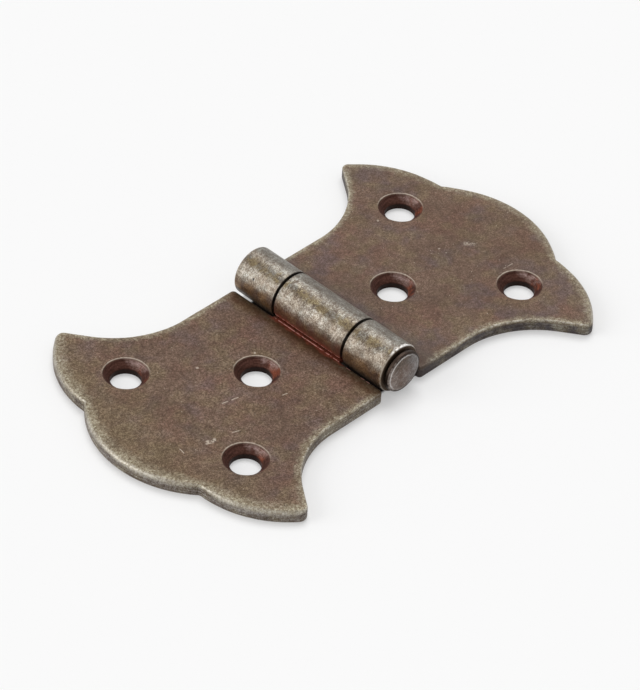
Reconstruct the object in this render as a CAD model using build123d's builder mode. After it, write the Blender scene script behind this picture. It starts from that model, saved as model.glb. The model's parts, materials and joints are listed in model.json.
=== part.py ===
from build123d import *
import os
from math import asin, degrees, sqrt

os.makedirs("parts", exist_ok=True)

# A butterfly hinge in steel sheet, lying open and flat. X runs across the leaves, Y along
# the pin and Z up. The undersides of the leaves lie at Z = 0, and the origin is under the
# middle of the pin. Both leaves have one outline: the left one is turned half round.

# Sheet and rolled barrel
sheet = 2.2
barrel_radius = 3.95
seam_gap = 0.18            # between the end of the roll and its own leaf
knuckle_gap = 0.35         # between two neighbouring knuckles
far_joint = 7.5            # middle of the gap nearer the far end of the barrel
near_joint = -6.9          # middle of the gap nearer the head of the pin
barrel_far = 15.8          # far end of the barrel, flush with the leaf
barrel_near = -15.0        # near end of the barrel, set back to make room for the head

# Outline of a leaf, for the leaf at +X, from the barrel outwards
root_edge = 3.9            # from the pin's axis to the edge beside the other leaf's knuckles
root_half = 15.8           # half the width beside the barrel
side_end = 14.5            # where the straight side turns into the waist curve
waist_radius = 15.7
waist_turn = 54.5          # degrees
wing_run = 5.1             # straight run from the waist curve to the wing tip
wing_radius = 16.7         # rounded outer edge of the wing
lobe_radius = 17.8         # middle lobe
leaf_reach = 42.8          # from the pin's axis to the end of the middle lobe
notch_half = 12.15         # from the centre line to the notch between lobe and wing
tip_round = 1.3
notch_round = 0.5
corner_round = 0.7         # corners beside the barrel

# Screw holes
near_hole = 14.5           # from the pin's axis
far_hole = 29.2
far_hole_half = 12.6       # from the centre line
hole_radius = 2.35
sink_radius = 3.5
sink_angle = 90            # degrees, across the whole cone

# Pin: a drive fit in the two end knuckles, free in the middle one
run_radius = 1.7
head_radius = 3.4
head_gap = 0.35            # between the barrel and the head
head_rim = 0.7
head_dome = 0.15
end_inset = 0.1            # the far end stops just inside the barrel
end_chamfer = 0.3

# Worn edges, as narrow bevels
sheet_bevel = 0.3
head_bevel = 0.3

# Sizes that follow
pin_height = barrel_radius                       # the sheet runs flat under the barrel
bore_radius = barrel_radius - sheet
seam_angle = degrees(asin((bore_radius - seam_gap) / barrel_radius))
roll_turn = 270 + seam_angle
lobe_centre = leaf_reach - lobe_radius
notch_x = lobe_centre + sqrt(lobe_radius**2 - notch_half**2)
near_gap = (near_joint - knuckle_gap / 2, near_joint + knuckle_gap / 2)
far_gap = (far_joint - knuckle_gap / 2, far_joint + knuckle_gap / 2)
head_back = barrel_near - head_gap
head_front = head_back - head_rim
hair = 0.01                                      # reach of a selection round a plane


def rings(part, radius):
    """The round edges of one radius, in order along Y."""
    circles = part.edges().filter_by(GeomType.CIRCLE)
    return circles.filter_by(lambda edge: abs(edge.radius - radius) < hair).sort_by(Axis.Y)


def leaf_outline():
    """The blank of a leaf seen from above, without the strips that are rolled."""
    with BuildSketch() as outline:
        with BuildLine():
            side = Line((root_edge, root_half), (side_end, root_half))
            waist = JernArc(side @ 1, (1, 0), waist_radius, waist_turn)
            wing = PolarLine(waist @ 1, wing_run, waist_turn)
            edge = RadiusArc(wing @ 1, (notch_x, notch_half), wing_radius)
            ThreePointArc(edge @ 1, (leaf_reach, 0), (notch_x, -notch_half))
            mirror([side, waist, wing, edge], about=Plane.XZ)
            Line((root_edge, -root_half), (root_edge, root_half))
        make_face()
        corners = outline.vertices().group_by(Axis.Y)
        fillet(corners[0] + corners[-1], tip_round)
        notches = outline.vertices().filter_by_position(Axis.X, notch_x - hair, notch_x + hair)
        fillet(notches, notch_round)
    return outline.sketch


def knuckle_section():
    """A rolled strip cut across the pin: flat on the ground, then up and over the pin."""
    axis = (0, pin_height)
    with BuildSketch() as section:
        with BuildLine():
            outside = CenterArc(axis, barrel_radius, -90, -roll_turn)
            inside = CenterArc(axis, bore_radius, -90, -roll_turn)
            Line(outside @ 1, inside @ 1)
            Polyline(outside @ 0, (root_edge, 0), (root_edge, sheet), inside @ 0)
        make_face()
    return section.sketch


def rolled_leaf(knuckles):
    """A leaf at +X with its knuckles, each given as its two ends along the pin."""
    with BuildPart() as leaf:
        with BuildSketch():
            add(leaf_outline())
        extrude(amount=sheet)
        for near, far in knuckles:
            with BuildSketch(Plane.XZ.offset(-far)):
                add(knuckle_section())
            extrude(amount=far - near)
        upright = leaf.edges().filter_by(Axis.Z)
        beside_barrel = upright.filter_by_position(Axis.X, root_edge - hair, root_edge + hair)
        free = beside_barrel.filter_by(lambda edge: abs(edge.center().Y) > root_half - hair)
        fillet(free, corner_round)
        # the bevel of the underside runs on along the ends of the knuckles
        under = leaf.edges().filter_by_position(Axis.Z, -hair, hair)
        over = leaf.edges().filter_by_position(Axis.Z, sheet - hair, sheet + hair)
        under = under.filter_by_position(Axis.X, hair, leaf_reach + hair)
        over = over.filter_by_position(Axis.X, root_edge - hair, leaf_reach + hair)
        chamfer(under + over, sheet_bevel)
        with Locations((near_hole, 0, sheet)):
            CounterSinkHole(hole_radius, sink_radius, counter_sink_angle=sink_angle)
        with Locations((far_hole, 0, sheet)):
            with GridLocations(0, 2 * far_hole_half, 1, 2):
                CounterSinkHole(hole_radius, sink_radius, counter_sink_angle=sink_angle)
    return leaf.part


with BuildPart() as right_leaf:
    add(rolled_leaf([(barrel_near, near_gap[0]), (far_gap[1], barrel_far)]))
right_leaf.part.label = "right_leaf"
export_step(right_leaf.part, "parts/right_leaf.step")

with BuildPart() as left_leaf:
    add(rolled_leaf([(-far_gap[0], -near_gap[1])]), rotation=(0, 0, 180))
left_leaf.part.label = "left_leaf"
export_step(left_leaf.part, "parts/left_leaf.step")

with BuildPart() as hinge_pin:
    with BuildSketch(Plane.XY.offset(pin_height)):
        with BuildLine():
            dome = TangentArc((0, head_front - head_dome), (head_radius, head_front), tangent=(1, 0))
            Polyline(
                dome @ 1,
                (head_radius, head_back),
                (bore_radius, head_back),
                (bore_radius, near_gap[0]),
                (run_radius, near_gap[0]),
                (run_radius, far_gap[1]),
                (bore_radius, far_gap[1]),
                (bore_radius, barrel_far - end_inset),
                (0, barrel_far - end_inset),
                dome @ 0,
            )
        make_face()
    revolve(axis=Axis((0, 0, pin_height), (0, 1, 0)))
    chamfer(rings(hinge_pin, head_radius)[0], head_bevel)
    chamfer(rings(hinge_pin, bore_radius)[-1], end_chamfer)
hinge_pin.part.label = "hinge_pin"
export_step(hinge_pin.part, "parts/hinge_pin.step")
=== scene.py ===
# A butterfly hinge in aged steel sheet. Each leaf is made as the real one is: a flat blank with
# strips beside it, whose edges are rounded and whose holes are countersunk, and then the strips
# are rolled into the knuckles. A point of the blank is (u, y, h): u runs from the pin's axis
# across the leaf and is negative in a strip, y runs along the pin, and h is the height over the
# underside. The underside of a strip becomes the outside of its knuckle. Sizes are in
# millimetres until a mesh is written.
import json
from math import asin, ceil, cos, pi, radians, sin, tan

import bmesh
import bpy
import numpy as np
from mathutils import Matrix, Vector, kdtree, noise
from mathutils.geometry import delaunay_2d_cdt
from numpy.linalg import norm


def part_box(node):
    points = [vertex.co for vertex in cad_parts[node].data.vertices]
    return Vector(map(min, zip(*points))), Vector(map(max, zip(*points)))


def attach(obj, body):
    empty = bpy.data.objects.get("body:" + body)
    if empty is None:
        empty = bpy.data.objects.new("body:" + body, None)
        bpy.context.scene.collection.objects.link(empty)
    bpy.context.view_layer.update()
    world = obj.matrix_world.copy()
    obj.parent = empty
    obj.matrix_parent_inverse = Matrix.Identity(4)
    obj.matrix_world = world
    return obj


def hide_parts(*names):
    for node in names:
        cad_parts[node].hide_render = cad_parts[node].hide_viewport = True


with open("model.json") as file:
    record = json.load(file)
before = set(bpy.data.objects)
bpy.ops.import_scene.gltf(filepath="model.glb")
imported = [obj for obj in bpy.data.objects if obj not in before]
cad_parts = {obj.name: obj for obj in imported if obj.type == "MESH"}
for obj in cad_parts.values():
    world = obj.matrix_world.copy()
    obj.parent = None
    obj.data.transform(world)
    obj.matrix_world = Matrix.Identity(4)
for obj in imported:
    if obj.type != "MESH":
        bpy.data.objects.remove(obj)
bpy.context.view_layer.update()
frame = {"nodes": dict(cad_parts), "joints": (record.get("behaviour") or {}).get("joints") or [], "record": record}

MM = 0.001
HAIR = 0.001  # points closer than this are one point


def node_points(name):
    """The corners of a CAD node's mesh, in millimetres."""
    return np.array([v.co for v in frame["nodes"][name].data.vertices]) / MM


# Sizes that the frame gives
barrel_radius = frame["joints"][0]["pos_m"][2] / MM
leaf_corners = node_points("right_leaf")
sheet = leaf_corners[leaf_corners[:, 0] > 2 * barrel_radius][:, 2].max()
bores = [m for m in frame["record"]["mounts"] if m["kind"] == "bore"]
hole_radius = bores[0]["dims"]["r_mm"]
right_holes = [(m["pos_m"][0] / MM, m["pos_m"][1] / MM) for m in bores if m["pos_m"][0] > 0]
pin_low, pin_high = (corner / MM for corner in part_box("hinge_pin"))

# Sizes that follow, as in the CAD model
seam_gap = 0.18  # between the end of the roll and its own leaf
root_edge = 3.9  # from the pin's axis to the free edge beside the barrel
barrel_edge = 15.8  # half the width beside the barrel
barrel_end_range = (barrel_edge - 2.5, barrel_edge - 1)  # its ends, past the gaps
bore_radius = barrel_radius - sheet
neutral_radius = barrel_radius - sheet / 2  # the layer that rolling doesn't stretch
roll_turn = radians(270) + asin((bore_radius - seam_gap) / barrel_radius)
roll_length = neutral_radius * roll_turn
sink_radius = 3.5
sink_floor = sheet - (sink_radius - hole_radius)  # a 90 degree countersink

# Rounded edges. Blanking pulls down the top edge most where the outline bulges outwards.
crisp_inset, crisp_drop = 0.24, 0.30
soft_inset, soft_drop = 0.62, 0.95
under_inset, under_drop = 0.26, 0.40
groove_round = 0.07  # edges of a strip beside another knuckle
groove_inset = 0.06  # wears the grooves between knuckles this much wider
groove_wander = 0.035
barrel_round = 0.28  # edges of a strip at the ends of the barrel
strip_corner = 0.5  # corners at the end of a strip
root_corner = 0.22  # inner corners beside the knuckles
sink_round = 0.14
hole_round = 0.12
cad_clearance = 0.012  # keeps the smooth outline inside the CAD outline

# Wear of the flat faces
wave_depth, wave_size = 0.018, 9
dent_depth, dent_size = 0.006, 1.4
edge_fall = 0.045  # how far a face drops towards its edge
edge_fall_width = 0.9
under_share = 0.4  # the underside rises by this share of it

# Mesh
edge_step = 0.26  # along an edge
fine_step = 0.3  # across a face that shows
coarse_step = 0.8  # across the underside
hole_columns = 112


def step_up(value, low, high):
    """0 below low, 1 above high and smooth between."""
    part = np.clip((value - low) / (high - low), 0, 1)
    return part * part * (3 - 2 * part)


def on_ground(places):
    """Flat places as points with no height."""
    return np.column_stack([places, np.zeros(len(places))])


def noise_at(points, size, seed):
    """Smooth noise between -1 and 1 with lumps of about this size, in millimetres."""
    shift = Vector((seed * 37.1, seed * 11.3, seed * 5.7))
    return np.array([noise.noise(Vector(p) / size + shift) for p in points])


# The outline of the blank

def turn_at(points):
    """The angle through which a closed line turns at each point, positive to the left."""
    before = points - np.roll(points, 1, axis=0)
    after = np.roll(points, -1, axis=0) - points
    cross = before[:, 0] * after[:, 1] - before[:, 1] * after[:, 0]
    return np.arctan2(cross, (before * after).sum(axis=1))


def cut_outline(name):
    """The outline of a leaf, where a level plane cuts its CAD node, with the leaf at +X."""
    cut = bmesh.new()
    cut.from_mesh(frame["nodes"][name].data)
    bmesh.ops.remove_doubles(cut, verts=cut.verts, dist=HAIR * MM)
    bmesh.ops.bisect_plane(
        cut,
        geom=cut.verts[:] + cut.edges[:] + cut.faces[:],
        dist=HAIR * MM / 10,
        plane_co=(0, 0, sheet / 2 * MM),
        plane_no=(0, 0, 1),
        clear_inner=True,
        clear_outer=True,
    )
    start = max(cut.verts, key=lambda v: abs(v.co.x))
    loop = [start]
    step = start.link_edges[0]
    while step.other_vert(loop[-1]) is not start:
        loop.append(step.other_vert(loop[-1]))
        step = next(edge for edge in loop[-1].link_edges if edge is not step)
    points = np.array([v.co.xy for v in loop]) / MM
    cut.free()
    return points * np.sign(points[0, 0])


def unroll(points):
    """Gives the strips their length before rolling, and drops points inside straight runs."""
    points = points.copy()
    points[points[:, 0] < 0, 0] = -roll_length
    after = np.roll(points, -1, axis=0)
    if np.sum(points[:, 0] * after[:, 1] - points[:, 1] * after[:, 0]) < 0:
        points = points[::-1]
    step = norm(points - np.roll(points, 1, axis=0), axis=1)
    points = points[step > HAIR]
    return points[np.abs(turn_at(points)) > radians(0.3)]


def ease_corners(points):
    """Rounds the sharp corners of the strips."""
    sharp = radians(50)
    eased = []
    for index, (point, turn) in enumerate(zip(points, turn_at(points))):
        if abs(turn) < sharp:
            eased.append(point)
            continue
        back = points[index - 1] - point
        ahead = points[(index + 1) % len(points)] - point
        room = 0.45 * min(norm(back), norm(ahead))
        reach = min((strip_corner if turn > 0 else root_corner) * tan(abs(turn) / 2), room)
        start = point + back / norm(back) * reach
        end = point + ahead / norm(ahead) * reach
        for part in np.linspace(0, 1, 9):
            # a quadratic curve towards the corner comes close to an arc over a right angle
            eased.append((1 - part) ** 2 * start + 2 * part * (1 - part) * point + part**2 * end)
    return np.array(eased)


def smooth_outline(points):
    """A smooth closed curve through the points, which stays straight along long runs."""
    long_run = 2.0
    after = np.roll(points, -1, axis=0) - points
    length = norm(after, axis=1)
    ahead = after / length[:, None]
    behind = np.roll(ahead, 1, axis=0)
    tangent = ahead + behind
    tangent[length > long_run] = ahead[length > long_run]
    came_long = np.roll(length, 1) > long_run
    tangent[came_long] = behind[came_long]
    tangent /= norm(tangent, axis=1)[:, None]
    curve = []
    for index in range(len(points)):
        following = (index + 1) % len(points)
        slope_a = tangent[index] * length[index]
        slope_b = tangent[following] * length[index]
        for s in np.arange(0, 1, 1 / ceil(length[index] / edge_step)):
            curve.append(
                (2 * s**3 - 3 * s**2 + 1) * points[index]
                + (s**3 - 2 * s**2 + s) * slope_a
                + (3 * s**2 - 2 * s**3) * points[following]
                + (s**3 - s**2) * slope_b
            )
    return np.array(curve)


def inward(outline):
    """The direction into the sheet at each point of an anticlockwise outline."""
    along = np.roll(outline, -1, axis=0) - np.roll(outline, 1, axis=0)
    along /= norm(along, axis=1)[:, None]
    return np.stack([-along[:, 1], along[:, 0]], axis=1)


def rim_softness(outline, seed):
    """How far the top edge is pulled down at each point of the outline, from 0 to 1."""
    wing_start = 22.0  # the waist ends and the wings begin
    u = outline[:, 0]
    notches = outline[(turn_at(outline) < -radians(5)) & (u > wing_start)]
    from_notch = norm(outline[:, None] - notches[None], axis=2).min(axis=1)
    soft = step_up(-inward(outline)[:, 0], -0.2, 0.5) * step_up(u, wing_start, wing_start + 5)
    soft *= 0.3 + 0.7 * step_up(from_notch, 0.3, 3.0)
    soft += 0.22 * noise_at(on_ground(outline), 4, seed) * (u > root_edge)
    spread = 5
    soft = sum(np.roll(soft, shift) for shift in range(-spread, spread + 1)) / (2 * spread + 1)
    return np.clip(soft, 0, 1)


# Faces of the blank

def edge_band(outline, soft):
    """Points of the rounded outer edge, one column for each point of the outline."""
    in_strip = step_up(-outline[:, 0], -1, 1)
    at_end = step_up(np.abs(outline[:, 1]), *barrel_end_range)
    strip_round = groove_round + (barrel_round - groove_round) * at_end
    top_in = crisp_inset + (soft_inset - crisp_inset) * soft
    top_drop = crisp_drop + (soft_drop - crisp_drop) * soft
    top_in, top_drop, low_in, low_rise = (
        size + (strip_round - size) * in_strip
        for size in (top_in, top_drop, under_inset + 0 * soft, under_drop + 0 * soft)
    )
    rows = []
    for a in np.linspace(0, pi / 2, 9):
        rows.append((top_in * (1 - sin(a)), sheet - top_drop * (1 - cos(a))))
    for part in np.linspace(0, 1, 7)[1:-1]:
        rows.append((0 * soft, (1 - part) * (sheet - top_drop) + part * low_rise))
    for a in np.linspace(0, pi / 2, 6):
        rows.append((low_in * (1 - cos(a)), low_rise * (1 - sin(a))))
    into = inward(outline)
    groove = groove_inset + groove_wander * noise_at(on_ground(outline), 1.1, seed=71)
    start = outline + into * (groove * in_strip * (1 - at_end))[:, None]
    return np.stack(
        [np.column_stack([start + into * inset[:, None], height]) for inset, height in rows], axis=1
    )


def hole_profile():
    """Radii and heights down a countersunk hole, from the top of the leaf to its underside."""
    rim = sink_radius + sink_round * tan(radians(45) / 2)
    rows = [
        (rim - sink_round * sin(a), sheet - sink_round * (1 - cos(a))) for a in np.linspace(0, pi / 4, 6)
    ]
    ease = 0.08  # where the cone meets the straight wall
    cone_top = rows[-1]
    for part in np.linspace(0, 1, 7)[1:]:
        radius = (1 - part) * cone_top[0] + part * (hole_radius + ease)
        rows.append((radius, (1 - part) * cone_top[1] + part * (sink_floor + ease)))
    rows.append((hole_radius + ease / 4, sink_floor - ease / 4))
    rows += [(hole_radius, h) for h in np.linspace(sink_floor - 1.5 * ease, hole_round, 6)]
    for a in np.linspace(0, pi / 2, 5)[1:]:
        rows.append((hole_radius + hole_round * (1 - cos(a)), hole_round * (1 - sin(a))))
    return np.array(rows)


def hole_band(centre):
    """Points of a countersunk hole, one column for each step round it."""
    angle = np.linspace(0, 2 * pi, hole_columns, endpoint=False)
    around = np.stack([np.cos(angle), np.sin(angle)], axis=1)
    rows = [
        np.column_stack([centre + around * radius, np.full(hole_columns, height)])
        for radius, height in hole_profile()
    ]
    return np.stack(rows, axis=1)


def band_faces(columns, rows):
    """Four-sided faces of a closed band of points."""
    column, row = np.meshgrid(np.arange(columns), np.arange(rows - 1), indexing="ij")
    here = column * rows + row
    there = (column + 1) % columns * rows + row
    return np.stack([here, there, there + 1, here + 1], axis=-1).reshape(-1, 4)


def nearest_finder(points):
    """A tree that finds the nearest of some flat points."""
    tree = kdtree.KDTree(len(points))
    for index, point in enumerate(points):
        tree.insert((*point, 0), index)
    tree.balance()
    return tree


def grid_inside(outline, rings, steps):
    """Points of a triangular grid that lie well inside a face. steps gives the spacing by u."""
    rims = nearest_finder(np.vstack([outline, *rings]))
    found = []
    for (low, high), step in steps:
        across = np.arange(low, high, step * sin(pi / 3))
        along = np.arange(outline[:, 1].min(), outline[:, 1].max(), step)
        for row, u in enumerate(across):
            for y in along + row % 2 * step / 2:
                if rims.find((u, y, 0))[2] > 0.55 * step:
                    found.append((u, y))
    return np.array(found)


def face_triangles(outline, rings, steps):
    """Fills a face of the blank between its outer ring and the rings of its holes."""
    points = [outline, *rings, grid_inside(outline, rings, steps)]
    edges = []
    first = 0
    for ring in points[:-1]:
        edges += [(first + index, first + (index + 1) % len(ring)) for index in range(len(ring))]
        first += len(ring)
    keep_inside = 1
    filled = delaunay_2d_cdt([Vector(p) for p in np.vstack(points)], edges, [], keep_inside, 1e-7)
    flat = np.array(filled[0])
    triangles = np.array(filled[2])
    for ring in rings:
        centre = ring.mean(axis=0)
        middle = flat[triangles].mean(axis=1)
        radius = norm(ring[0] - centre)
        triangles = triangles[norm(middle - centre, axis=1) > radius]
    return flat, triangles


def build_blank(name, seed):
    """All points (u, y, h) and faces of a leaf before it is rolled, and its outline."""
    outline = smooth_outline(ease_corners(unroll(cut_outline(name))))
    outline += cad_clearance * inward(outline)
    soft = rim_softness(outline, seed)
    bands = [edge_band(outline, soft), *(hole_band(np.array(hole)) for hole in right_holes)]
    points = []
    faces = []
    count = 0
    for band in bands:
        points.append(band.reshape(-1, 3))
        faces += (band_faces(*band.shape[:2]) + count).tolist()
        count += len(points[-1])
    reach = outline[:, 0].max()
    shown = [((-roll_length, reach), fine_step)]
    mostly_hidden = [((-roll_length, 0.5), fine_step), ((0.5 + coarse_step / 2, reach), coarse_step)]
    top, bottom = 0, -1  # rows of a band
    for row, height, steps in ((top, sheet, shown), (bottom, 0, mostly_hidden)):
        rings = [band[:, row, :2] for band in bands]
        flat, triangles = face_triangles(rings[0], rings[1:], steps)
        points.append(np.column_stack([flat, np.full(len(flat), height)]))
        faces += (triangles + count).tolist()
        count += len(flat)
    return np.vstack(points), faces, outline, soft


# What wear and rolling do to the blank

def edge_distance(points, outline, soft):
    """How far each point lies inside the outline, and how soft the edge nearest to it is."""
    tree = nearest_finder(outline)
    nearest = [tree.find((u, y, 0)) for u, y, _ in points]
    inset = np.array([distance for _, _, distance in nearest])
    inset[inset < 0.02] = 0
    return inset, soft[[index for _, index, _ in nearest]]


def wear(points, inset, softness, seed):
    """Wears the blank: soft waves, small dents and a fall towards the edges. Nothing grows."""
    share = points[:, 2] / sheet  # how far up the sheet
    flat = 1 - np.clip(-points[:, 0], 0, 1)
    waves = wave_depth * (1 + noise_at(points, wave_size, seed)) / 2
    dents = dent_depth * (1 + noise_at(points, dent_size, seed + 1)) / 2
    fall = edge_fall * (0.3 + 0.7 * softness) * np.exp(-inset / edge_fall_width)
    worn = points.copy()
    worn[:, 2] += (waves + under_share * fall) * (1 - share) - (waves + dents + fall) * share * flat
    return worn


def bend(points):
    """Rolls the strips over the pin."""
    u, y, h = points.T
    turn = np.clip(-u / neutral_radius, 0, None)
    radius = barrel_radius - h
    x = np.where(u > 0, u, -radius * np.sin(turn))
    z = np.where(u > 0, h, barrel_radius - radius * np.cos(turn))
    return np.column_stack([x, y, z])


def add_object(name, data):
    """Puts a mesh, a camera or a light into the scene."""
    item = bpy.data.objects.new(name, data)
    bpy.context.scene.collection.objects.link(item)
    return item


def write_mesh(name, points, faces, fields):
    """Makes a smooth-shaded object in metres, with its fields as attributes of the points."""
    mesh = bpy.data.meshes.new(name)
    mesh.from_pydata((points * MM).tolist(), [], faces)
    for field, values in fields.items():
        kind, slot = ("FLOAT", "value") if values.ndim == 1 else ("FLOAT_VECTOR", "vector")
        layer = mesh.attributes.new(field, kind, "POINT")
        layer.data.foreach_set(slot, values.astype(np.float32).ravel())
    shell = bmesh.new()
    shell.from_mesh(mesh)
    bmesh.ops.remove_doubles(shell, verts=shell.verts, dist=HAIR * MM / 5)
    bmesh.ops.recalc_face_normals(shell, faces=shell.faces)
    shell.to_mesh(mesh)
    shell.free()
    mesh.shade_smooth()
    return add_object(name, mesh)


def leaf_fields(points, inset, softness, side):
    """What the materials need to know about each point of the blank. side is -1 at -X."""
    u = points[:, 0]
    h = points[:, 2]
    holes = np.array(right_holes)
    from_holes = points[:, None, :2] - holes[None]
    nearest = norm(from_holes, axis=2).argmin(axis=1)
    from_hole = side * from_holes[np.arange(len(points)), nearest]
    around = norm(from_hole, axis=1)
    in_strip = step_up(-u, 0, 1)
    to_top = np.hypot(inset, (sheet - h) * (1 - 0.5 * softness))
    to_outside = np.hypot(inset, h)
    rim = to_top * (1 - in_strip) + to_outside * in_strip
    turn = np.clip(-u / neutral_radius, 0, None)
    return {
        "blank": points,
        "rim": rim,
        "hole_rim": np.hypot(around - sink_radius, sheet - h),
        "softness": softness,
        "sink": 1 - step_up(around, sink_radius - 0.08, sink_radius + 0.03),
        "from_hole": np.column_stack([from_hole, around]),
        "wall": (1 - step_up(inset, 0.0, 0.14)) * (1 - step_up(h, sheet - 0.7, sheet - 0.2)),
        "rolled": step_up(-u, 0.5, 2.5),
        "inside": step_up(h, 0.2 * sheet, 0.5 * sheet),
        "tilt": side * (turn / (pi / 2) - 2),
    }


def use_barrel_material(mesh):
    """Gives the strips the second material of the mesh."""
    places = np.empty(3 * len(mesh.vertices), dtype=np.float32)
    mesh.attributes["blank"].data.foreach_get("vector", places)
    strip_start = -0.3  # a little past the pin's axis
    in_strip = places.reshape(-1, 3)[:, 0] < strip_start
    for face in mesh.polygons:
        face.material_index = int(in_strip[face.vertices[0]])


def make_leaf(name, seed, materials):
    """Builds a leaf. Its first material is for the flat and its second for the strips."""
    side = -1 if name == "left_leaf" else 1
    points, faces, outline, soft = build_blank(name, seed)
    inset, softness = edge_distance(points, outline, soft)
    shape = bend(wear(points, inset, softness, seed))
    shape[:, :2] *= side  # the left leaf is turned half round
    piece = write_mesh(name + "_rolled_sheet", shape, faces, leaf_fields(points, inset, softness, side))
    for material in materials:
        piece.data.materials.append(material)
    use_barrel_material(piece.data)
    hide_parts(name)
    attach(piece, name)


# The pin

head_rim = 0.7  # height of the head's cylindrical wall
head_dome = 0.15
head_round = 0.26  # rounding of the head's front edge
head_back_round = 0.12
near_gap = -6.9  # middles of the two gaps between the knuckles
far_gap = 7.5
run_play = 0.05  # radial play in the middle knuckle
press_play = 0.005  # keeps the pin's surface out of the end knuckles
end_round = 0.3
pin_columns = 168
pinhole = 0.02  # radius of the small flat in the middle of each end


def pin_profile():
    """Radii and places along Y, from the middle of the head's face to the far end."""
    head_radius = pin_high.x
    shoulder = pin_low.y + head_dome  # where the face turns into the wall
    back = shoulder + head_rim
    end = pin_high.y
    press_radius = bore_radius - press_play
    run_radius = bore_radius - run_play
    rows = []
    for radius in np.linspace(pinhole, head_radius - head_round, 18):
        rows.append((radius, pin_low.y + head_dome * (radius / head_radius) ** 2))
    front = rows[-1][1]
    for a in np.linspace(0, pi / 2, 9)[1:]:
        rows.append((head_radius - head_round * (1 - sin(a)), front + head_round * (1 - cos(a))))
    rows += [(head_radius, y) for y in np.linspace(rows[-1][1], back - head_back_round, 4)[1:]]
    for a in np.linspace(0, pi / 2, 5)[1:]:
        rows.append((head_radius - head_back_round * (1 - cos(a)), back - head_back_round * (1 - sin(a))))
    rows += [(radius, back) for radius in np.linspace(rows[-1][0], bore_radius, 6)[1:]]
    rows += [(press_radius, y) for y in np.linspace(back + run_play, near_gap - run_play, 12)]
    rows += [(run_radius, y) for y in np.linspace(near_gap, far_gap, 16)]
    rows += [(press_radius, y) for y in np.linspace(far_gap + run_play, end - end_round, 10)]
    for a in np.linspace(0, pi / 2, 6)[1:]:
        rows.append((press_radius - end_round * (1 - cos(a)), end - end_round * (1 - sin(a))))
    rows += [(radius, end) for radius in np.linspace(rows[-1][0], pinhole, 6)[1:]]
    return np.array(rows)


def make_pin(material):
    radius, along = pin_profile().T
    rows = len(radius)
    angle = np.linspace(0, 2 * pi, pin_columns, endpoint=False)
    x = np.cos(angle)[:, None] * radius
    z = barrel_radius + np.sin(angle)[:, None] * radius
    points = np.stack([x, np.broadcast_to(along, x.shape), z], axis=-1).reshape(-1, 3)
    faces = band_faces(pin_columns, rows).tolist()
    faces.append([column * rows for column in range(pin_columns)])
    faces.append([column * rows + rows - 1 for column in range(pin_columns)])
    from_axis = np.tile(radius, pin_columns)
    behind_face = np.tile(along, pin_columns) - (pin_low.y + head_dome)
    fields = {
        "blank": points,
        "rim": np.hypot(from_axis - pin_high.x, behind_face),
        "wall": step_up(behind_face, 0.1, 0.4),
    }
    piece = write_mesh("headed_pin", points, faces, fields)
    piece.data.materials.append(material)
    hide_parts("hinge_pin")
    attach(piece, "right_leaf")


# Colours of the leaves
BROWN = (0.117, 0.070, 0.046)
RED_BROWN = (0.122, 0.058, 0.038)
VIOLET = (0.092, 0.061, 0.057)
SHADE_VIOLET_GREY = (0.062, 0.051, 0.052)
OLIVE = (0.134, 0.096, 0.048)
SOOT_AND_SHADE = (0.034, 0.022, 0.016)
SAGE = (0.280, 0.243, 0.170)
BEIGE = (0.450, 0.385, 0.310)
STEEL = (0.500, 0.468, 0.405)
WALL_BROWN = (0.160, 0.133, 0.114)

# Colours of the barrel
CROWN_GREY = (0.150, 0.133, 0.108)
SIDE_BROWN = (0.262, 0.214, 0.162)
SIDE_GREY = (0.257, 0.227, 0.184)
LOW_BROWN = (0.176, 0.100, 0.047)
STAIN = (0.168, 0.122, 0.058)
SCUFFED = (0.480, 0.425, 0.360)
PIT_AND_SHADE_BROWN = (0.075, 0.048, 0.030)
SHADE_AND_PIT_BLACK = (0.012, 0.009, 0.008)
BARE_STEEL_AND_GLINT = (0.900, 0.880, 0.850)

# Colours of the seam and the countersinks
RUST = (0.240, 0.062, 0.028)
GLINT_PINK = (0.900, 0.500, 0.430)
RUST_RED = (0.255, 0.060, 0.034)
MAROON = (0.142, 0.046, 0.026)
SEAM_BROWN = (0.048, 0.018, 0.004)
SINK_BROWN = (0.066, 0.026, 0.018)
SINK_SHEEN_GREY = (0.210, 0.140, 0.122)

# Colours of the pin's head
HEAD_BROWN = (0.125, 0.076, 0.054)
HEAD_GREY = (0.200, 0.158, 0.135)
HEAD_REFLECTION_BLUE = (0.180, 0.174, 0.176)
HEAD_PALE = (0.370, 0.312, 0.280)

# Refractive index of the oxide, which shines more on the barrel and the pin
leaf_glaze = 1.36
barrel_glaze = 1.6

# Bands round the barrel, in quarter turns from its top, positive towards +X. A range gives the
# place where a band starts and the place from which it is full.
side_range = (-0.30, -0.44)  # the grey crown turns into the brown side
scuff_range = (-0.34, -0.50)  # pale scuffs on that side
scuff_end_range = (-0.86, -0.66)
stain_middle = -0.26
sheen_middle = -0.09
pit_middle = -0.2
low_range = (0.66, 0.94)  # brown towards the leaves, on both sides
under_range = (1.05, 1.30)  # painted shade below them
crescent_range = (-0.45, -0.05)  # painted highlight on the edge beside the head
crescent_end_range = (0.8, 0.4)

# Other places on the blank
lobe_range = (26, 42)  # more olive towards the end of the lobe
barrel_shadow_range = (9.5, 6.2)  # painted violet shadow beside the barrel, on the right leaf
shaded_range = (8.0, 5.0)  # dull beside the barrel
near_end_range = (-13.0, -14.2)  # the near end of the barrel, along the pin
rust_middle = 0.3  # of the rust along the seam
rust_half, rust_full = 8.6, 7.6

# Directions in the leaf, from a hole's middle or from the pin's axis
rusty_side = (0.77, -0.64, 0)  # of a countersink
# the side of each countersink whose cone gets a painted sheen
sheen_side = (0.99, 0.16, 0)
# the far side of each countersink's rim, which gets a painted highlight
highlit_side = (0.7, 0.71, 0)
lit_side = (-0.8, 0, 0.6)  # of the pin's head, whose rim gets a painted highlight there
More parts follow.
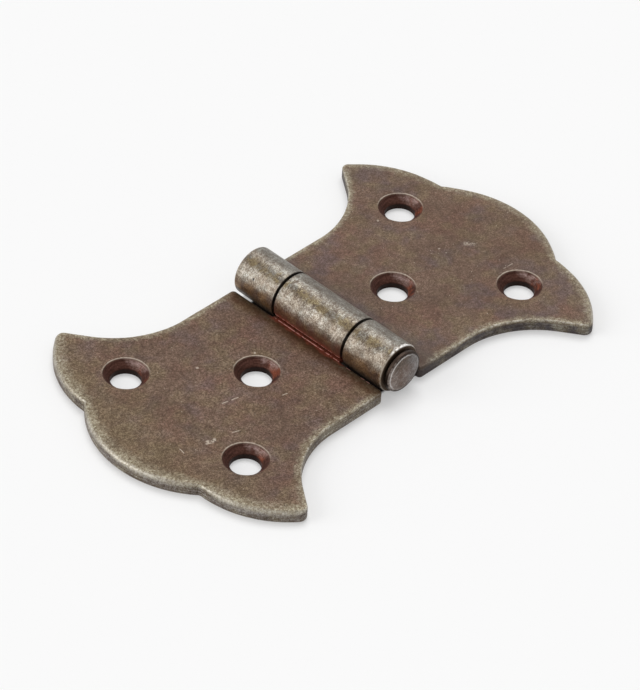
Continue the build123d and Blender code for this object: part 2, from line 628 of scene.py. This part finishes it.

# Marks that the photo shows. Each is a line on the blank, from one (u, y) to another, and half
# its width.
press_strokes = [((-12.7, 4.55), (-11.5, 4.95), 0.13), ((-12.5, 5.15), (-11.6, 5.45), 0.13)]
barrel_pit = [((-6.0, 12.25), (-6.05, 12.3), 0.2)]
left_scratches = [
    ((23.3, 1.7), (20.7, 2.3), 0.13),
    ((15.5, 6.3), (14.7, 6.5), 0.11),
    ((26.7, 7.2), (25.7, 7.6), 0.11),
    ((34.8, 4.7), (35.0, 5.9), 0.11),
]
left_scuffs = [((30.9, 6.4), (29.8, 6.6), 0.6)]
left_specks = [((20.6, -6.5), (20.5, -6.4), 0.22), ((11.8, -3.2), (11.9, -3.1), 0.2)]
# painted glints along the crease beside the near knuckle
glint_u = 4.05
glint_spans = ((8.4, 9.0), (11.4, 11.9), (12.5, 13.0))
crease_glints = [((glint_u, low), (glint_u, high), 0.2) for low, high in glint_spans]
right_scratches = [((30.1, -8.3), (32.1, -8.4), 0.12)]
right_scuffs = [((30.4, -0.4), (31.2, -1.1), 0.7)]
right_specks = [((24.2, 12.6), (24.3, 12.7), 0.25), ((26.3, 1.6), (26.4, 1.6), 0.2)]

# Sockets of a Mix node that mixes colours. Their names are those of other sockets too.
MIX_SHARE, MIX_A, MIX_B, MIX_RESULT = 0, 6, 7, 2


class Shader:
    """The nodes of a material or a world, added by short calls. Sizes are in millimetres."""

    def __init__(self, owner, shift=0.0):
        owner.use_nodes = True
        self.owner = owner
        self.tree = owner.node_tree
        self.tree.nodes.clear()
        self.shift = shift

    def add(self, kind, inputs, output=0, **settings):
        """Adds a node and gives one of its outputs. An input is a value or another's output."""
        node = self.tree.nodes.new("ShaderNode" + kind)
        for key, value in settings.items():
            setattr(node, key, value)
        for key, value in inputs.items():
            if isinstance(value, bpy.types.NodeSocket):
                self.tree.links.new(value, node.inputs[key])
            else:
                node.inputs[key].default_value = value
        return node.outputs[output]

    def field(self, name):
        """A number that the mesh holds for each point."""
        return self.add("Attribute", {}, "Fac", attribute_name=name)

    def vector_field(self, name):
        """Three numbers that the mesh holds for each point."""
        return self.add("Attribute", {}, "Vector", attribute_name=name)

    def part_of(self, vector, letter):
        return self.add("SeparateXYZ", {"Vector": vector}, letter)

    def blank(self):
        """The place on the blank: across the leaf, along the pin and up."""
        return self.vector_field("blank")

    def across(self):
        return self.part_of(self.blank(), "X")

    def lengthwise(self):
        return self.part_of(self.blank(), "Y")

    def height(self):
        return self.part_of(self.blank(), "Z")

    def beyond_gaps(self):
        """1 at the two ends of the barrel and 0 between its knuckles."""
        return self.span(self.math("ABSOLUTE", self.lengthwise()), *barrel_end_range)

    def vector(self, operation, a, b):
        return self.add("VectorMath", {0: a, 1: b}, operation=operation)

    def along(self, vector, direction):
        inputs = {0: vector, 1: direction}
        return self.add("VectorMath", inputs, "Value", operation="DOT_PRODUCT")

    def math(self, operation, a, b=0.5, clamp=False):
        return self.add("Math", {0: a, 1: b}, operation=operation, use_clamp=clamp)

    def times(self, *factors):
        product = factors[0]
        for factor in factors[1:]:
            product = self.math("MULTIPLY", product, factor)
        return product

    def span(self, value, low, high, to_low=0.0, to_high=1.0):
        """Goes smoothly from to_low, where the value is low, to to_high, where it is high."""
        inputs = {"Value": value, "From Min": low, "From Max": high, "To Min": to_low, "To Max": to_high}
        return self.add("MapRange", inputs, interpolation_type="SMOOTHSTEP")

    def scale(self, share, low, high):
        """Goes smoothly from low, where a share is 0, to high, where it is 1."""
        return self.span(share, 0, 1, low, high)

    def near(self, value, middle, reach, core, to_low=0.0, to_high=1.0):
        """Goes from to_low, where the value is reach from the middle, to to_high in the core."""
        apart = self.math("ABSOLUTE", self.math("SUBTRACT", value, middle))
        return self.span(apart, reach, core, to_low, to_high)

    def place(self, seed, stretch=(1, 1, 1)):
        """The place on the blank, moved so that each use of noise differs."""
        shift = self.shift + 17.3 * seed
        inputs = {0: self.blank(), "Location": (shift, shift / 2, shift / 3), "Scale": stretch}
        return self.add("Mapping", inputs)

    def noise(self, size, seed, detail=3.0, roughness=0.55, stretch=(1, 1, 1)):
        inputs = {"Vector": self.place(seed, stretch), "Scale": 1 / size, "Detail": detail}
        return self.add("TexNoise", {**inputs, "Roughness": roughness})

    def cloud(self, size, low, high, **look):
        """Patches of about this size: 0 where noise is below low, 1 where it is above high."""
        return self.span(self.noise(size, **look), low, high)

    def wobble(self, value, size, amount, seed):
        """A value moved up or down by noise, so that its limits look ragged."""
        lumps = self.span(self.noise(size, seed, detail=4), 0.25, 0.75, -amount, amount)
        return self.math("ADD", value, lumps)

    def spots(self, size, reach, seed):
        """Small round spots, at most one for each cell of this size."""
        inputs = {"Vector": self.place(seed), "Scale": 1 / size}
        return self.span(self.add("TexVoronoi", inputs), reach, reach / 2)

    def line(self, start, end, half_width, height):
        """1 within a line from one place on the blank to another, given as (u, y)."""
        a = Vector((*start, height))
        along = Vector((*end, height)) - a
        offset = self.vector("SUBTRACT", self.blank(), tuple(a))
        part = self.math("ADD", self.along(offset, tuple(along / along.length_squared)), 0.0, clamp=True)
        nearest = self.add("VectorMath", {0: tuple(along), "Scale": part}, operation="SCALE")
        apart = self.vector("SUBTRACT", offset, nearest)
        distance = self.add("VectorMath", {0: apart}, "Value", operation="LENGTH")
        return self.span(distance, half_width, half_width / 3)

    def lines(self, marks, height=sheet):
        """1 within any of some marks, at this height of the blank."""
        found, *others = (self.line(*mark, height) for mark in marks)
        for other in others:
            found = self.math("MAXIMUM", found, other)
        return found

    def mix(self, share, a, b, blend="MIX"):
        a, b = ((*c, 1) if isinstance(c, tuple) else c for c in (a, b))
        inputs = {MIX_SHARE: share, MIX_A: a, MIX_B: b}
        return self.add("Mix", inputs, MIX_RESULT, data_type="RGBA", blend_type=blend)

    def paint(self, colour, coat, *shares):
        """Covers a colour with another by the product of some shares."""
        return self.mix(self.times(*shares), colour, coat)

    def shade(self, colour, value, depth, share=1.0):
        """Darkens and lightens a colour by noise. Lighter is also greyer, as bare metal is."""
        tint = (1.0, 1.18, 1.36)
        darker = tuple(1 - depth * part for part in tint)
        lighter = tuple(1 + depth * part for part in tint)
        return self.mix(share, colour, self.mix(self.span(value, 0.25, 0.75), darker, lighter), "MULTIPLY")

    def uneven(self, colour, depth, size, **look):
        """Shades a colour by noise of this size."""
        return self.shade(colour, self.noise(size, **look), depth)

    def relief(self, depth, size, below=None, **look):
        """Dents by noise of this size, over the relief below."""
        inputs = {"Height": self.noise(size, **look), "Distance": depth * MM, "Strength": 1.0}
        if below is not None:
            inputs["Normal"] = below
        return self.add("Bump", inputs)

    def finish(self, colour, metallic, roughness, glaze, relief):
        inputs = {"Base Color": colour, "Metallic": metallic, "Roughness": roughness}
        inputs.update({"IOR": glaze, "Normal": relief})
        return self.output("Material", self.add("BsdfPrincipled", inputs))

    def output(self, kind, surface):
        """Ends the nodes, and gives the material or the world."""
        node = self.tree.nodes.new("ShaderNodeOutput" + kind)
        self.tree.links.new(surface, node.inputs["Surface"])
        return self.owner


def patina(s, violet, outer):
    """Brown oxide on the faces, clouded with red, violet and olive."""
    colour = s.paint(BROWN, RED_BROWN, s.cloud(6.0, 0.44, 0.66, seed=1, detail=2), 0.55)
    colour = s.paint(colour, VIOLET, s.cloud(4.5, 0.46, 0.70, seed=2, detail=2), violet)
    colour = s.paint(colour, OLIVE, s.cloud(3.2, 0.44, 0.70, seed=3, detail=1), 0.45)
    lobe = s.span(s.wobble(s.across(), 5, 4, seed=4), *lobe_range)
    return s.paint(colour, OLIVE, lobe, outer)


def grain(s, colour, strength):
    """Fine unevenness of the oxide, with dark pits and pale flecks."""
    colour = s.uneven(colour, 0.14, 9.0, seed=5, detail=2)
    colour = s.uneven(colour, 0.17 * strength, 1.1, seed=6)
    colour = s.uneven(colour, 0.34 * strength, 0.45, seed=7, roughness=0.65)
    colour = s.uneven(colour, 0.42 * strength, 0.18, seed=8, detail=1)
    pits = s.cloud(0.5, 0.58, 0.70, seed=9, detail=4, roughness=0.75)
    colour = s.paint(colour, SOOT_AND_SHADE, pits, 0.7 * strength)
    flecks = s.times(s.spots(0.8, 0.12, seed=10), s.cloud(2.5, 0.52, 0.60, seed=11))
    return s.paint(colour, BEIGE, flecks, 0.7)


def barrel_bands(s, tilt):
    """Round the barrel: a grey crown, a brown side, a stain, a pale band of painted sheen, and painted shade
    below.
    """
    side = s.paint(SIDE_BROWN, SIDE_GREY, s.cloud(1.6, 0.35, 0.65, seed=22))
    colour = s.paint(CROWN_GREY, side, s.span(tilt, *side_range))
    stained = s.cloud(1.8, 0.40, 0.56, seed=24, detail=5, roughness=0.65)
    colour = s.paint(colour, STAIN, s.near(tilt, stain_middle, 0.22, 0.07), stained, 0.95)
    # painted sheen: a pale band along the crown, broken into patches
    rubbed = s.cloud(1.4, 0.30, 0.60, seed=23, detail=2, roughness=0.5)
    colour = s.paint(colour, SIDE_GREY, s.near(tilt, sheen_middle, 0.17, 0.04), rubbed, 0.6)
    from_top = s.math("ABSOLUTE", tilt)
    low = s.paint(LOW_BROWN, BROWN, s.cloud(2.0, 0.45, 0.65, seed=25))
    colour = s.paint(colour, low, s.span(from_top, *low_range))
    # painted shade on the barrel's underside
    return s.paint(colour, PIT_AND_SHADE_BROWN, s.span(from_top, *under_range))


def barrel_grain(s, colour, tilt):
    """Streaks along the barrel, rings at its ends, scuffs on the side and small pits."""
    colour = s.uneven(colour, 0.22, 1.8, seed=26, roughness=0.6, stretch=(1, 0.6, 1))
    streaks = s.noise(0.5, seed=27, detail=4, roughness=0.7, stretch=(1, 0.28, 1))
    colour = s.shade(colour, streaks, 0.35)
    colour = s.uneven(colour, 0.24, 0.45, seed=28, roughness=0.6)
    colour = s.uneven(colour, 0.50, 0.18, seed=19, detail=1)
    ringed = s.noise(0.22, seed=20, detail=2, roughness=0.5, stretch=(0.03, 1, 1))
    colour = s.shade(colour, ringed, 0.3, s.beyond_gaps())
    scuffs = s.cloud(0.45, 0.55, 0.61, seed=29, roughness=0.65, stretch=(1, 0.4, 1))
    scuffs = s.times(scuffs, s.cloud(1.7, 0.46, 0.56, seed=30))
    on_side = s.times(s.span(tilt, *scuff_range), s.span(tilt, *scuff_end_range))
    colour = s.paint(colour, SCUFFED, scuffs, s.scale(on_side, 0.1, 0.7))
    pits = s.cloud(0.5, 0.54, 0.57, seed=37, detail=5, roughness=0.75)
    pits = s.times(pits, s.cloud(1.8, 0.42, 0.50, seed=38, detail=1))
    pits = s.times(pits, s.near(tilt, pit_middle, 0.45, 0.2, 0.35, 1.0))
    return s.paint(colour, PIT_AND_SHADE_BROWN, pits, 0.9)


def barrel_material(name, shift, violet, marks):
    """The rolled strips: worn and stained outside, with painted shade on the knuckles' end faces, darkest in the
    gaps between knuckles.
    """
    s = Shader(bpy.data.materials.new(name), shift)
    wall = s.field("wall")
    rolled = s.field("rolled")
    tilt = s.wobble(s.field("tilt"), 1.6, 0.07, seed=21)
    colour = barrel_grain(s, barrel_bands(s, tilt), tilt)
    worn = s.times(s.span(s.wobble(s.field("rim"), 0.5, 0.10, seed=31), 0.30, 0.12), s.beyond_gaps())
    colour = s.paint(colour, BEIGE, worn, s.cloud(0.8, 0.25, 0.55, seed=17), 0.9)
    colour = marks(s, roll_end_rust(s, colour))
    colour = s.paint(grain(s, patina(s, violet, outer=0.0), strength=1.0), colour, rolled)
    colour = s.paint(colour, PIT_AND_SHADE_BROWN, s.field("inside"))
    # painted shade on the knuckles' end faces: near black in the gaps, dark brown at the barrel's ends
    colour = s.paint(colour, s.paint(SHADE_AND_PIT_BLACK, PIT_AND_SHADE_BROWN, s.beyond_gaps()), wall)
    dull = s.math("MAXIMUM", wall, s.math("SUBTRACT", 1.0, rolled))
    uneven = s.span(s.noise(0.8, seed=39, detail=4, roughness=0.65), 0.3, 0.7, 0.32, 0.52)
    roughness = s.math("MAXIMUM", uneven, s.times(dull, 0.6))
    metallic = s.math("MAXIMUM", s.scale(dull, 0.45, 0.2), s.times(wall, 0.9))
    dents = s.relief(0.06, 1.2, seed=40, roughness=0.6)
    relief = s.relief(0.03, 0.3, dents, seed=32, detail=4, roughness=0.7)
    return s.finish(colour, metallic, roughness, barrel_glaze, relief)


def left_barrel_marks(s, colour):
    """Two short strokes on the middle knuckle."""
    return s.paint(colour, BEIGE, s.lines(press_strokes, height=0), 0.8)


def right_barrel_marks(s, colour):
    """A pit on the far knuckle, and a painted highlight, a crescent, at the near end of the barrel."""
    colour = s.paint(colour, SHADE_AND_PIT_BLACK, s.lines(barrel_pit, height=0))
    near_end = s.span(s.lengthwise(), *near_end_range)
    tilt = s.field("tilt")
    upper = s.times(s.span(tilt, *crescent_range), s.span(tilt, *crescent_end_range))
    crescent = s.span(s.wobble(s.field("rim"), 0.6, 0.15, seed=41), 0.62, 0.30)
    crescent = s.times(crescent, s.cloud(0.5, 0.34, 0.56, seed=42))
    # painted highlight along the upper rim of the near end
    return s.paint(colour, BARE_STEEL_AND_GLINT, near_end, upper, crescent)


def roll_end_rust(s, colour):
    """Rust at the end of the roll, with a painted glint, broken, along its lip."""
    from_end = s.math("ADD", s.across(), roll_length)
    towards_crease = s.span(s.wobble(from_end, 1.0, 0.5, seed=34), 2.6, 0.3)
    colour = s.paint(colour, MAROON, towards_crease, s.cloud(1.5, 0.3, 0.55, seed=33), 0.85)
    colour = s.paint(colour, RUST_RED, s.span(s.wobble(from_end, 1.0, 0.2, seed=36), 0.8, 0.1))
    # painted glint along the lip of the roll's end
    lip = s.near(from_end, 0.16, 0.13, 0.04)
    broken = s.cloud(0.6, 0.44, 0.54, seed=35, detail=4, roughness=0.7)
    return s.paint(colour, GLINT_PINK, lip, broken, 0.8)


def seam_rust(s, colour):
    """Rust, and dirt with painted shade, on the leaf beside the barrel, and a painted glint, broken, in the
    crease.
    """
    from_barrel = s.math("SUBTRACT", s.across(), root_edge)
    on_top = s.times(s.span(s.field("wall"), 0.6, 0.2), s.span(s.height(), 0.5 * sheet, 0.8 * sheet))
    rusty = s.times(on_top, s.near(s.lengthwise(), rust_middle, rust_half, rust_full))
    towards_crease = s.span(s.wobble(from_barrel, 1.5, 0.5, seed=33), 3.4, 0.4)
    # dirt and painted shade in the crease beside the barrel
    colour = s.paint(colour, SEAM_BROWN, towards_crease, on_top, 0.78)
    rust = s.span(s.wobble(from_barrel, 1.0, 0.2, seed=34), 0.85, 0.1)
    colour = s.paint(colour, RUST_RED, rust, s.cloud(1.5, 0.3, 0.55, seed=35), rusty, 0.9)
    # painted glint along the crease
    crease = s.near(from_barrel, 0.06, 0.12, 0.04)
    broken = s.cloud(0.5, 0.42, 0.52, seed=36, detail=4, roughness=0.7)
    return s.paint(colour, GLINT_PINK, crease, broken, rusty)


def sink_colour(s):
    """The countersinks: dark brown, turned by the cutter, with rust on one side, a painted sheen on another, and
    painted shade down the straight wall.
    """
    from_hole = s.vector_field("from_hole")
    rusty = s.span(s.along(from_hole, rusty_side), 1.4, 2.9)
    cone = s.paint(SINK_BROWN, RUST, s.cloud(1.8, 0.44, 0.62, seed=47), rusty, 0.6)
    # painted sheen on the cone's +X side
    bare = s.span(s.along(from_hole, sheen_side), 2.1, 3.1)
    cone = s.paint(cone, SINK_SHEEN_GREY, s.cloud(1.5, 0.34, 0.56, seed=50), bare, 0.9)
    # the third part is the distance from the hole's middle, so this noise makes fine rings
    rings = s.vector("MULTIPLY", from_hole, (0.4, 0.4, 7))
    turned = s.add("TexNoise", {"Vector": rings, "Scale": 1.0})
    cone = s.shade(cone, turned, 0.45)
    cone = s.uneven(cone, 0.4, 0.3, seed=48, detail=4, roughness=0.7)
    # painted shade down the straight wall of each hole
    deep = s.span(s.height(), sink_floor, sink_floor - 0.25)
    return s.paint(cone, SHADE_AND_PIT_BLACK, deep, 0.7)


def rubbed_rim(s, colour, rim_reach, speckle):
    """Sage where the oxide is rubbed thin along the rim, further in where the edge is soft."""
    reach = s.scale(s.field("softness"), 0.55 * rim_reach, rim_reach)
    inset = s.wobble(s.field("rim"), 0.8, 0.35, seed=41)
    near_rim = s.span(s.math("DIVIDE", inset, reach), 1.0, 0.1)
    return s.paint(colour, SAGE, near_rim, s.scale(speckle, 0.45, 0.95))


def cut_edge(s, tone):
    """The cut edge of the sheet, streaked along its length."""
    layers = s.noise(0.4, seed=43, roughness=0.7, stretch=(0.08, 0.08, 2.5))
    colour = s.paint(tone, SAGE, s.cloud(3.0, 0.40, 0.7, seed=44), 0.5)
    return s.shade(colour, layers, 0.55)


def leaf_material(name, shift, violet, outer, rim_reach, wall_tone, strength, marks):
    """The flat of a leaf, its cut edge and worn rim, its holes and its marks."""
    s = Shader(bpy.data.materials.new(name), shift)
    wall = s.field("wall")
    speckle = s.cloud(0.32, 0.40, 0.58, seed=42, roughness=0.7)
    colour = rubbed_rim(s, patina(s, violet, outer), rim_reach, speckle)
    colour = grain(s, s.paint(colour, cut_edge(s, wall_tone), wall), strength)
    worn_reach = s.scale(s.field("softness"), 0.26, 0.66)
    worn = s.span(s.wobble(s.field("rim"), 0.35, 0.14, seed=46), worn_reach, 0.05)
    polished = s.scale(s.cloud(3.0, 0.38, 0.60, seed=45), 0.55, 1.0)
    bright = s.times(polished, s.scale(speckle, 0.55, 1.0))
    colour = s.paint(colour, STEEL, worn, bright)
    # painted highlight along the far side of each countersink's rim
    upper = s.span(s.along(s.vector_field("from_hole"), highlit_side), -0.6, 2.8)
    hole_rim_highlight = s.span(s.wobble(s.field("hole_rim"), 0.5, 0.06, seed=49), 0.2, 0.04)
    colour = s.paint(colour, BEIGE, hole_rim_highlight, upper, 0.8)
    colour = s.paint(colour, sink_colour(s), s.field("sink"))
    colour = marks(s, seam_rust(s, colour))
    # deep or shaded places reflect less white as metal than as glazed oxide
    metallic = s.times(s.scale(worn, 0.3, 0.8), s.scale(wall, 1.0, 0.8))
    for deep in (s.field("sink"), s.span(s.across(), *shaded_range)):
        metallic = s.math("MAXIMUM", metallic, s.times(deep, 0.7))
    dents = s.relief(0.05, 1.2, seed=51, roughness=0.6)
    relief = s.relief(0.03, 0.3, dents, seed=52, detail=4, roughness=0.7)
    return s.finish(colour, metallic, s.scale(worn, 0.6, 0.4), leaf_glaze, relief)


def left_marks(s, colour):
    """Scratches, specks and a scuff on the left leaf, and painted glints along the crease."""
    broken = s.cloud(0.6, 0.34, 0.5, seed=61, detail=2)
    colour = s.paint(colour, BEIGE, s.lines(left_scratches), broken, 0.75)
    # painted glints along the crease
    colour = s.paint(colour, GLINT_PINK, s.lines(crease_glints), 0.8)
    scuff = s.times(s.lines(left_scuffs), s.cloud(0.35, 0.46, 0.56, seed=62, detail=2))
    return s.paint(colour, BEIGE, s.math("MAXIMUM", scuff, s.lines(left_specks)), 0.8)


def right_marks(s, colour):
    """A painted violet shadow beside the barrel, and a scratch, specks and a scuff on the right leaf."""
    # painted violet shadow on the right leaf beside the barrel
    beside = s.span(s.wobble(s.across(), 2.5, 0.6, seed=60), *barrel_shadow_range)
    colour = s.paint(colour, SHADE_VIOLET_GREY, beside, 0.45)
    broken = s.cloud(0.6, 0.4, 0.56, seed=63, detail=2)
    colour = s.paint(colour, BEIGE, s.lines(right_scratches), broken, 0.5)
    scuff = s.times(s.lines(right_scuffs), s.cloud(0.35, 0.46, 0.56, seed=64, detail=2))
    return s.paint(colour, BEIGE, s.math("MAXIMUM", scuff, s.lines(right_specks)), 0.55)


def head_colour(s):
    """The face of the head: brown and grey, darker above, with a painted bluish reflection towards +X."""
    colour = s.paint(HEAD_BROWN, HEAD_GREY, s.cloud(1.4, 0.40, 0.62, seed=2, detail=4, roughness=0.6))
    upper = s.span(s.wobble(s.height(), 1.5, 0.5, seed=7), barrel_radius + 0.2, barrel_radius + 2.0)
    colour = s.paint(colour, PIT_AND_SHADE_BROWN, upper, 0.9)
    # painted reflection of the ground, bluish, towards +X
    bluish = s.span(s.wobble(s.across(), 1.5, 0.6, seed=8), -0.5, 3.2)
    colour = s.paint(colour, HEAD_REFLECTION_BLUE, bluish, 0.7)
    pits = s.cloud(0.4, 0.52, 0.66, seed=3, detail=4, roughness=0.7)
    colour = s.paint(colour, PIT_AND_SHADE_BROWN, pits, 0.5)
    colour = s.uneven(colour, 0.3, 0.45, seed=9, roughness=0.65)
    return s.uneven(colour, 0.4, 0.18, seed=4, detail=1)


def pin_material():
    """The pin: a patchy face with a worn rim and painted highlights on its lit side, and painted shade behind the
    face.
    """
    s = Shader(bpy.data.materials.new("aged_pin"), shift=5.0)
    rim = s.field("rim")
    # painted shade on the head's wall and behind it
    dark = s.math("MAXIMUM", s.field("wall"), s.span(rim, 0.40, 0.30))
    colour = s.paint(head_colour(s), SOOT_AND_SHADE, dark)
    on_face = s.span(s.field("wall"), 0.1, 0.0)
    # painted highlight: a pale rim on the head's left side
    left_side = s.span(s.math("MULTIPLY", s.across(), -1.0), 0.6, 2.9)
    pale = s.span(s.wobble(rim, 0.8, 0.3, seed=10), 1.35, 0.4)
    pale = s.times(pale, s.cloud(0.6, 0.30, 0.62, seed=11))
    colour = s.paint(colour, HEAD_PALE, pale, left_side, on_face, 0.62)
    worn = s.near(s.wobble(rim, 0.5, 0.07, seed=1), 0.46, 0.17, 0.03)
    worn = s.times(worn, on_face, s.cloud(0.5, 0.2, 0.5, seed=12))
    # painted highlight on the worn rim, strongest on the lit side
    level = lit_side[2] * barrel_radius  # of the head's middle
    lit = s.span(s.along(s.blank(), lit_side), level - 0.5, level + 2.0)
    colour = s.paint(colour, BARE_STEEL_AND_GLINT, worn, s.scale(lit, 0.10, 0.50))
    metallic = s.scale(s.math("SUBTRACT", dark, worn), 0.5, 0.9)
    dents = s.relief(0.05, 1.6, seed=6, detail=2)
    relief = s.relief(0.03, 0.4, dents, seed=5, detail=4, roughness=0.7)
    return s.finish(colour, metallic, 0.42, barrel_glaze, relief)


# The stage
camera_turn = -47.724  # degrees round from the front, anticlockwise from above
camera_rise = 40.618
camera_roll = 3.705
camera_distance = 620.0
camera_target = (-1.48, -0.36, 0)
focal_length = 216.06  # on a 36 mm sensor
paper = 0.956  # brightness of the white ground
side_from = (-0.76, 0.50, 0.41)  # direction of the light at the left
side_width = 44  # degrees across
side_level = 0.14  # share of the plain level
top_from = (0.38, 0.30, 0.87)  # direction of the light overhead
top_width = 36
top_level = 0.38
floor_glow = 0.35  # share of the ground's brightness that no shadow takes away
floor_half = 2.0  # metres
floor_drop = 0.02  # keeps the ground clear of the undersides
dark_middle = -2.9  # painted shadow on the strip of ground that shows between the left leaf and the barrel
dark_half = 1.7
dark_far = 14.0
dark_near = -14.4
dark_fade = 0.6  # at the ends of the strip


def place_camera():
    turn, rise, roll = (radians(a) for a in (camera_turn, camera_rise, camera_roll))
    back = Vector((sin(turn) * cos(rise), -cos(turn) * cos(rise), sin(rise)))
    right = Vector((cos(turn), sin(turn), 0))
    up = back.cross(right)
    across = cos(roll) * right + sin(roll) * up
    upward = cos(roll) * up - sin(roll) * right
    axes = Matrix((across, upward, back)).transposed()
    data = bpy.data.cameras.new("camera")
    data.lens = focal_length
    data.clip_end = 20
    camera = add_object("camera", data)
    place = (Vector(camera_target) + camera_distance * back) * MM
    camera.matrix_world = Matrix.Translation(place) @ axes.to_4x4()
    bpy.context.scene.camera = camera


def add_light(name, towards, width, level):
    """A soft light. A level surface gets this share of the plain level from it."""
    towards = Vector(towards).normalized()
    data = bpy.data.lights.new(name, "SUN")
    data.angle = radians(width)
    data.energy = pi * level / towards.z
    add_object(name, data).rotation_euler = towards.to_track_quat("Z", "Y").to_euler()


def seen_directly(s):
    """1 for rays of the camera, of reflections and through clear matter, otherwise 0."""
    share = s.add("LightPath", {}, "Is Camera Ray")
    path = share.node
    for ray in ("Is Glossy Ray", "Is Transmission Ray"):
        share = s.math("MAXIMUM", share, path.outputs[ray])
    return share


def make_world():
    """Even light from all sides. What is seen of it directly is as bright as the ground."""
    world = bpy.data.worlds.new("studio")
    bpy.context.scene.world = world
    s = Shader(world)
    levels = {"Factor": seen_directly(s), "A": 1 - side_level - top_level, "B": paper}
    light = {"Color": (1, 1, 1, 1), "Strength": s.add("Mix", levels)}
    s.output("World", s.add("Background", light))


def make_floor():
    """White ground, which glows a little, with a painted shadow where it shows under the barrel."""
    mesh = bpy.data.meshes.new("floor")
    corners = [(x * floor_half, y * floor_half, 0) for x, y in ((-1, -1), (1, -1), (1, 1), (-1, 1))]
    mesh.from_pydata(corners, [], [(0, 1, 2, 3)])
    floor = add_object("floor", mesh)
    floor.location.z = -floor_drop * MM
    s = Shader(bpy.data.materials.new("white_ground"))
    place = s.add("TexCoord", {}, "Object")
    y = s.part_of(place, "Y")
    # painted shadow under the barrel
    strip = s.times(
        s.near(s.part_of(place, "X"), dark_middle * MM, dark_half * MM, 0.8 * dark_half * MM),
        s.span(y, dark_far * MM, (dark_far - dark_fade) * MM),
        s.span(y, dark_near * MM, (dark_near + dark_fade) * MM),
    )
    ground = s.mix(strip, (paper, paper, paper), SHADE_AND_PIT_BLACK)
    matte = s.add("BsdfDiffuse", {"Color": ground})
    glow = s.add("Emission", {"Color": ground, "Strength": 1.0})
    share = s.times(seen_directly(s), floor_glow)
    both = s.add("MixShader", {0: share, 1: matte, 2: glow})
    mesh.materials.append(s.output("Material", both))


def dress_left_leaf(shift=13.0):
    """Makes the left leaf. The shift moves the noise, so that the leaves differ."""
    look = {"violet": 0.5, "outer": 0.6, "rim_reach": 2.7, "wall_tone": WALL_BROWN, "strength": 1.0}
    flat = leaf_material("aged_left_leaf", shift, marks=left_marks, **look)
    rolled = barrel_material("aged_middle_knuckle", shift, violet=0.5, marks=left_barrel_marks)
    make_leaf("left_leaf", seed=1, materials=(flat, rolled))


def dress_right_leaf(shift=113.0):
    # the right leaf's cut edge takes a darker violet tone than the left's: painted shade
    look = {"violet": 0.7, "outer": 0.1, "rim_reach": 2.2, "wall_tone": SHADE_VIOLET_GREY, "strength": 0.8}
    flat = leaf_material("aged_right_leaf", shift, marks=right_marks, **look)
    rolled = barrel_material("aged_end_knuckles", shift, violet=0.9, marks=right_barrel_marks)
    make_leaf("right_leaf", seed=11, materials=(flat, rolled))


dress_left_leaf()
dress_right_leaf()
make_pin(pin_material())
place_camera()
add_light("side_light", side_from, side_width, side_level)
add_light("top_light", top_from, top_width, top_level)
make_world()
make_floor()
bpy.context.scene.view_settings.view_transform = "Standard"
